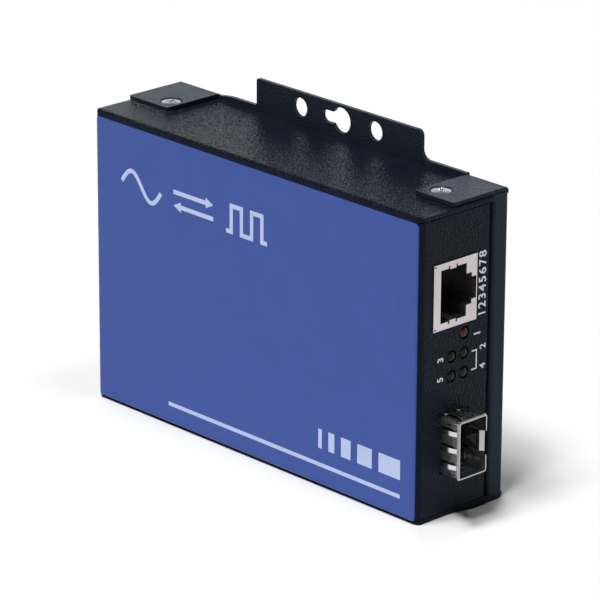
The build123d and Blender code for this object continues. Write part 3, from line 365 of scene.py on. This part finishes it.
# Print on the label, in millimetres from the case's rear and lower edges
SIGN_MIDDLE = 58.5
SIGN_HALF_HEIGHT = 3.2
SIGN_LINE = 1.1
WAVE_START, WAVE_END = 10.0, 24.0
WAVE_STEPS = 32
ARROW_START, ARROW_END = 28.5, 42.5
ARROW_HEAD = 2.6
ARROW_OFFSET = 1.7
PULSE_START = 47.0
PULSE_WIDTH = 3.5
PULSE_COUNT = 2
RULE_START, RULE_END = 26.3, 105.6
RULE_LOW, RULE_HIGH = 5.2, 6.2
BAR_LOW, BAR_HIGH = 9.8, 14.6
BAR_WIDTHS = (1.2, 2.0, 3.2, 4.8, 7.0)
BAR_GAP = 2.2


def wave_outline(rear, middle):
    """One period of a sine wave."""
    points = []
    for step in range(WAVE_STEPS + 1):
        share = step / WAVE_STEPS
        u = rear + WAVE_START + (WAVE_END - WAVE_START) * share
        points.append((u, middle + SIGN_HALF_HEIGHT * math.sin(2 * math.pi * share)))
    return stroke(points, SIGN_LINE)


def arrow_outline(rear, middle, way):
    """An arrow along +X above the middle, or along -X below it."""
    start, end = rear + ARROW_START, rear + ARROW_END
    tip, tail = (end, start) if way > 0 else (start, end)
    v = middle + way * ARROW_OFFSET
    neck = tip - way * ARROW_HEAD
    return [
        (tail, v - SIGN_LINE / 2), (neck, v - SIGN_LINE / 2), (neck, v - ARROW_HEAD / 2),
        (tip, v),
        (neck, v + ARROW_HEAD / 2), (neck, v + SIGN_LINE / 2), (tail, v + SIGN_LINE / 2),
    ]


def pulse_outline(rear, middle):
    """A train of square pulses, with half a width of line before and after it."""
    steps = [(0, -1)]
    for pulse in range(PULSE_COUNT):
        rise = 2 * pulse + 0.5
        steps += [(rise, -1), (rise, 1), (rise + 1, 1), (rise + 1, -1)]
    steps.append((2 * PULSE_COUNT, -1))
    points = [
        (rear + PULSE_START + PULSE_WIDTH * u, middle + SIGN_HALF_HEIGHT * v) for u, v in steps
    ]
    return stroke(points, SIGN_LINE)


def label_print():
    """Conversion sign, wave to pulses, and a rule with five bars at the foot of the label."""
    rear, low = CASE_LOW.x / MM, CASE_LOW.z / MM
    middle = low + SIGN_MIDDLE
    outlines = [wave_outline(rear, middle)]
    outlines += [arrow_outline(rear, middle, way) for way in (-1, 1)]
    outlines.append(pulse_outline(rear, middle))
    outlines.append(rectangle(rear + RULE_START, rear + RULE_END, low + RULE_LOW, low + RULE_HIGH))
    end = rear + RULE_END
    for width in reversed(BAR_WIDTHS):
        outlines.append(rectangle(end - width, end, low + BAR_LOW, low + BAR_HIGH))
        end -= width + BAR_GAP
    add_piece("label_print", flat_mesh("label_print", outlines, LABEL_TO_WORLD), "print_pale")


# Print on the front panel, in millimetres, with depths from the label face
NUMERAL_WEIGHT = 0.05
NUMERAL_STEPS = 4
CONTACT_COUNT = 8
CONTACT_PITCH = 2.05
CONTACT_FIGURE = 3.3
CONTACT_DEPTH = 20.1
FAULT_FIGURE = 3.0
FAULT_DEPTH = 18.7
FAULT_DROP = 1.2
LAMP_FIGURE = 2.6
LAMP_RADIUS = 1.5
NEAR_LAMP_DEPTH = 20.6
FAR_LAMP_DEPTH = 6.9
BRACKET_LINE = 0.35
BRACKET_LOW, BRACKET_HIGH = 33.9, 38.4
BRACKET_START, BRACKET_END = 16.9, 18.5


def numeral(name, text, size_mm, u, v):
    """Plain figures on the front panel, centred on a place in its print frame."""
    curve = bpy.data.curves.new(name + "_curve", "FONT")
    curve.body = text
    curve.size = size_mm * MM
    curve.align_x = "CENTER"
    curve.align_y = "CENTER"
    curve.extrude = PRINT_THICKNESS / 2
    curve.offset = NUMERAL_WEIGHT * MM
    curve.resolution_u = NUMERAL_STEPS
    writer = bpy.data.objects.new(name + "_writer", curve)
    bpy.context.scene.collection.objects.link(writer)
    bpy.context.view_layer.update()
    drawn = writer.evaluated_get(bpy.context.evaluated_depsgraph_get())
    mesh = bpy.data.meshes.new_from_object(drawn)
    bpy.data.objects.remove(writer)
    lift = PRINT_LIFT + PRINT_THICKNESS / 2
    mesh.transform(PANEL_TO_WORLD @ Matrix.Translation((u * MM, v * MM, lift)))
    mesh.materials.clear()
    add_piece(name, mesh, "print_white")


def panel_print():
    """Contact numbers beside the jack, lamp numbers and the bracket that joins two lamps."""
    low, face = CASE_LOW.z / MM, CASE_LOW.y / MM
    jack_z = (JACK_LOW.z + JACK_HIGH.z) / 2 / MM
    for index in range(CONTACT_COUNT):
        along = jack_z + (index - (CONTACT_COUNT - 1) / 2) * CONTACT_PITCH
        numeral(
            f"contact_number_{index + 1}", str(index + 1), CONTACT_FIGURE, along,
            -(face + CONTACT_DEPTH),
        )
    fault_z = (FAULT_LOW.z + FAULT_HIGH.z) / 2 / MM
    numeral("fault_number", "1", FAULT_FIGURE, fault_z - FAULT_DROP, -(face + FAULT_DEPTH))
    rows = (LAMPS_HIGH.z / MM - LAMP_RADIUS, LAMPS_LOW.z / MM + LAMP_RADIUS)
    for index, z in enumerate(rows):
        near, far = str(2 + 2 * index), str(3 + 2 * index)
        numeral(f"near_lamp_number_{index + 1}", near, LAMP_FIGURE, z, -(face + NEAR_LAMP_DEPTH))
        numeral(f"far_lamp_number_{index + 1}", far, LAMP_FIGURE, z, -(face + FAR_LAMP_DEPTH))
    bracket = [
        (low + BRACKET_HIGH, -(face + BRACKET_START)), (low + BRACKET_HIGH, -(face + BRACKET_END)),
        (low + BRACKET_LOW, -(face + BRACKET_END)), (low + BRACKET_LOW, -(face + BRACKET_START)),
    ]
    mesh = flat_mesh("lamp_bracket", [stroke(bracket, BRACKET_LINE)], PANEL_TO_WORLD)
    add_piece("lamp_bracket", mesh, "print_white")


# Cover screws, in millimetres and degrees
SCREW_HEAD_SHARE = 0.90
SCREW_CROWN = 0.16
SCREW_LIFT = 0.08
SCREW_RIM = 0.14
SCREW_CONE_FALL = 0.84
SCREW_SHANK = 1.4
SCREW_RECESS_ARM = 1.3
SCREW_RECESS_HALF_WIDTH = 0.34
SCREW_RECESS_DEPTH = 0.9
SCREW_RECESS_SLOPE = 3.0
SCREW_TURNS = (20, 65, 40, 10)
SCREW_SIDES = 96
SCREW_RINGS = 24
SCREW_SHARP_ANGLE = 32


def recess_depth(u, v):
    """Depth of the cross recess at a place on the head."""
    arms = (
        min(SCREW_RECESS_HALF_WIDTH - abs(across), SCREW_RECESS_ARM - abs(along))
        for across, along in ((u, v), (v, u))
    )
    return min(SCREW_RECESS_DEPTH, max(0.0, SCREW_RECESS_SLOPE * max(arms)))


def screw(work, place, way, seat_mm, length_mm, turn):
    """One domed countersunk screw with a cross recess, its head towards +Z or -Z."""
    head = seat_mm * SCREW_HEAD_SHARE

    def crown(u, v):
        return SCREW_LIFT - SCREW_CROWN * (u * u + v * v) / head ** 2 - recess_depth(u, v)

    def ring(radius, height):
        spots = []
        for step in range(SCREW_SIDES):
            angle = 2 * math.pi * step / SCREW_SIDES
            z = height(radius * math.cos(angle), radius * math.sin(angle))
            turned = angle + turn
            spot = Vector((radius * math.cos(turned), radius * math.sin(turned), way * z))
            spots.append(work.verts.new(place + spot * MM))
        return spots

    rim = SCREW_LIFT - SCREW_CROWN - SCREW_RIM
    neck = rim - (head - SCREW_SHANK) * SCREW_CONE_FALL
    loops = [ring(head * step / SCREW_RINGS, crown) for step in range(1, SCREW_RINGS + 1)]
    loops.append(ring(head, lambda u, v: rim))
    loops.append(ring(SCREW_SHANK, lambda u, v: neck))
    loops.append(ring(SCREW_SHANK, lambda u, v: -length_mm))
    for inner, outer in zip(loops, loops[1:]):
        for step in range(SCREW_SIDES):
            after = (step + 1) % SCREW_SIDES
            work.faces.new((inner[step], outer[step], outer[after], inner[after]))
    centre = work.verts.new(place + Vector((0, 0, way * crown(0, 0))) * MM)
    for step in range(SCREW_SIDES):
        work.faces.new((centre, loops[0][step], loops[0][(step + 1) % SCREW_SIDES]))
    work.faces.new(loops[-1])


def screws():
    """The four cover screws, in the places of the model's plain ones."""
    low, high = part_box("cover_screws")
    seat, middle = (high.y - low.y) / 2, (low + high) / 2
    heights = [vertex.co.z for vertex in nodes["cover_screws"].data.vertices]
    length = high.z - min(z for z in heights if z > middle.z)
    ends = ((1, high.z), (-1, low.z))
    places = [(x, way, z) for x in (low.x + seat, high.x - seat) for way, z in ends]
    work = bmesh.new()
    for (x, way, z), turn in zip(places, SCREW_TURNS):
        place = Vector((x, middle.y, z))
        screw(work, place, way, seat / MM, length / MM, math.radians(turn))
    bmesh.ops.recalc_face_normals(work, faces=work.faces)
    mesh = bpy.data.meshes.new("cross_screws")
    work.to_mesh(mesh)
    work.free()
    mesh.shade_smooth()
    mesh.set_sharp_from_angle(angle=math.radians(SCREW_SHARP_ANGLE))
    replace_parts(add_piece("cross_screws", mesh, "screw_steel"), "cover_screws")


label_print()
panel_print()
screws()

# Floor, with a low rise up to the case and in front of the plate's lower tabs
FLOOR_HALF = 8.0
FLOOR_LOW, FLOOR_HIGH = (0.80, 0.80, 0.80), (0.82, 0.82, 0.82)
FLOOR_GRAIN_MM = 40.0
RISE_INSET = 0.4 * MM
RISE_GAP = 0.05 * MM
RISE_RUN = 9.0 * MM
RISE_END = -3.6 * MM


def floor_mesh():
    """The wide floor and its rise: a flat top under the case and slopes around it."""
    work = bmesh.new()

    def corners(height, places):
        return [work.verts.new((x, y, height)) for x, y in places]

    signs = ((-1, -1), (1, -1), (1, 1), (-1, 1))
    work.faces.new(corners(0, [(FLOOR_HALF * x, FLOOR_HALF * y) for x, y in signs]))
    rear, front = CASE_LOW.x + RISE_INSET, CASE_HIGH.x - RISE_INSET
    near = CASE_LOW.y + RISE_INSET
    top = corners(
        CASE_LOW.z - RISE_GAP, ((rear, near), (front, near), (front, RISE_END), (rear, RISE_END))
    )
    foot = corners(0, (
        (rear - RISE_RUN, near - RISE_RUN), (front + RISE_RUN, near - RISE_RUN),
        (front + RISE_RUN, RISE_END), (front, RISE_END + RISE_RUN),
        (rear, RISE_END + RISE_RUN), (rear - RISE_RUN, RISE_END),
    ))
    work.faces.new(top)
    work.faces.new((foot[0], foot[1], top[1], top[0]))
    work.faces.new((foot[1], foot[2], top[2], top[1]))
    work.faces.new((foot[2], foot[3], top[2]))
    work.faces.new((foot[4], foot[5], top[3]))
    work.faces.new((foot[5], foot[0], top[0], top[3]))
    mesh = bpy.data.meshes.new("floor")
    work.to_mesh(mesh)
    work.free()
    return mesh


def floor():
    """Plain pale floor, dull all over, that keeps the object's shadow."""
    mesh = floor_mesh()
    plane = bpy.data.objects.new("floor", mesh)
    bpy.context.scene.collection.objects.link(plane)
    material, tree_nodes, links, main = shader("floor")
    tone = noise(tree_nodes, links, FLOOR_GRAIN_MM, TONE_DETAIL)
    links.new(ramp(tree_nodes, links, tone, FLOOR_LOW, FLOOR_HIGH), main.inputs["Base Color"])
    main.inputs["Roughness"].default_value = 1.0
    main.inputs["Specular IOR Level"].default_value = 0.0
    mesh.materials.append(material)


# World: tones that gloss shows, and the heights in degrees between which the backdrop ends
AMBIENT = 0.015
BACKDROP_TONE = (0.90, 0.95, 1.00)
CEILING_TONE = (0.050, 0.053, 0.058)
BACKDROP_FULL = 21.0
BACKDROP_END = 31.0


def seen_directly(tree_nodes, links, otherwise, strength):
    """The strength for camera, glossy and transmission rays, and another one for the rest."""
    path = tree_nodes.new("ShaderNodeLightPath")
    first = tree_nodes.new("ShaderNodeMath")
    first.operation = "MAXIMUM"
    second = tree_nodes.new("ShaderNodeMath")
    second.operation = "MAXIMUM"
    links.new(path.outputs["Is Camera Ray"], first.inputs[0])
    links.new(path.outputs["Is Glossy Ray"], first.inputs[1])
    links.new(first.outputs[0], second.inputs[0])
    links.new(path.outputs["Is Transmission Ray"], second.inputs[1])
    span = tree_nodes.new("ShaderNodeMapRange")
    span.inputs["To Min"].default_value = otherwise
    span.inputs["To Max"].default_value = strength
    links.new(second.outputs[0], span.inputs["Value"])
    return span.outputs["Result"]


def backdrop(tree_nodes, links):
    """White to the camera; to gloss a pale backdrop under a dim ceiling."""
    way = tree_nodes.new("ShaderNodeTexCoord")
    split = tree_nodes.new("ShaderNodeSeparateXYZ")
    links.new(way.outputs["Generated"], split.inputs["Vector"])
    start, end = (math.sin(math.radians(height)) for height in (BACKDROP_FULL, BACKDROP_END))
    tone = ramp(tree_nodes, links, split.outputs["Z"], BACKDROP_TONE, CEILING_TONE, start, end)
    path = tree_nodes.new("ShaderNodeLightPath")
    choice = tree_nodes.new("ShaderNodeMix")
    choice.data_type = "RGBA"
    to_gloss, to_camera = (socket for socket in choice.inputs if socket.type == "RGBA")
    to_camera.default_value = (1, 1, 1, 1)
    links.new(path.outputs["Is Camera Ray"], choice.inputs["Factor"])
    links.new(tone, to_gloss)
    return next(socket for socket in choice.outputs if socket.type == "RGBA")


def world():
    """The backdrop for what is seen directly or in gloss, and a faint light for the rest."""
    sky = bpy.data.worlds.new("studio")
    bpy.context.scene.world = sky
    sky.use_nodes = True
    tree_nodes, links = sky.node_tree.nodes, sky.node_tree.links
    background = tree_nodes["Background"]
    links.new(backdrop(tree_nodes, links), background.inputs["Color"])
    links.new(seen_directly(tree_nodes, links, AMBIENT, 1.0), background.inputs["Strength"])


def soft_sun(name, towards, spread_degrees, strength):
    """A wide, even light from far away, in the direction towards it."""
    data = bpy.data.lights.new(name, "SUN")
    data.angle = math.radians(spread_degrees)
    data.energy = strength
    light = bpy.data.objects.new(name, data)
    light.rotation_mode = "QUATERNION"
    light.rotation_quaternion = Vector(towards).to_track_quat("Z", "Y")
    bpy.context.scene.collection.objects.link(light)


# Camera of the photograph: a long lens, a little under a metre away
CAMERA_AZIMUTH = math.radians(46.442)
CAMERA_ELEVATION = math.radians(20.129)
CAMERA_ROLL = math.radians(0.296)
CAMERA_PLACE = Vector((652.99, -622.35, 369.15)) * MM
CAMERA_LENS = 244.2
CAMERA_SENSOR = 36.0
CAMERA_CLIP = (0.01, 50.0)


def camera():
    """The photograph's camera, from its two angles, its roll and its place."""
    back = Vector((
        math.sin(CAMERA_AZIMUTH) * math.cos(CAMERA_ELEVATION),
        -math.cos(CAMERA_AZIMUTH) * math.cos(CAMERA_ELEVATION),
        math.sin(CAMERA_ELEVATION),
    ))
    right = (-back).cross(Vector((0, 0, 1))).normalized()
    up = right.cross(-back)
    turned_right = right * math.cos(CAMERA_ROLL) + up * math.sin(CAMERA_ROLL)
    turned_up = up * math.cos(CAMERA_ROLL) - right * math.sin(CAMERA_ROLL)
    data = bpy.data.cameras.new("camera")
    data.lens = CAMERA_LENS
    data.sensor_width = CAMERA_SENSOR
    data.clip_start, data.clip_end = CAMERA_CLIP
    eye = bpy.data.objects.new("camera", data)
    turn = Matrix((turned_right, turned_up, back)).transposed()
    eye.matrix_world = Matrix.Translation(CAMERA_PLACE) @ turn.to_4x4()
    bpy.context.scene.collection.objects.link(eye)
    bpy.context.scene.camera = eye


floor()
world()
soft_sun("front_light", (-0.052, -0.319, 0.946), spread_degrees=12, strength=1.10)
soft_sun("right_front_light", (0.142, -0.415, 0.899), spread_degrees=11, strength=1.18)
soft_sun("right_light", (0.276, 0.044, 0.960), spread_degrees=9, strength=0.38)
soft_sun("overhead_light", (-0.107, 0.065, 0.992), spread_degrees=8, strength=0.50)
soft_sun("left_light", (-0.090, -0.185, 0.979), spread_degrees=10, strength=0.97)
camera()
bpy.context.scene.view_settings.view_transform = "Standard"
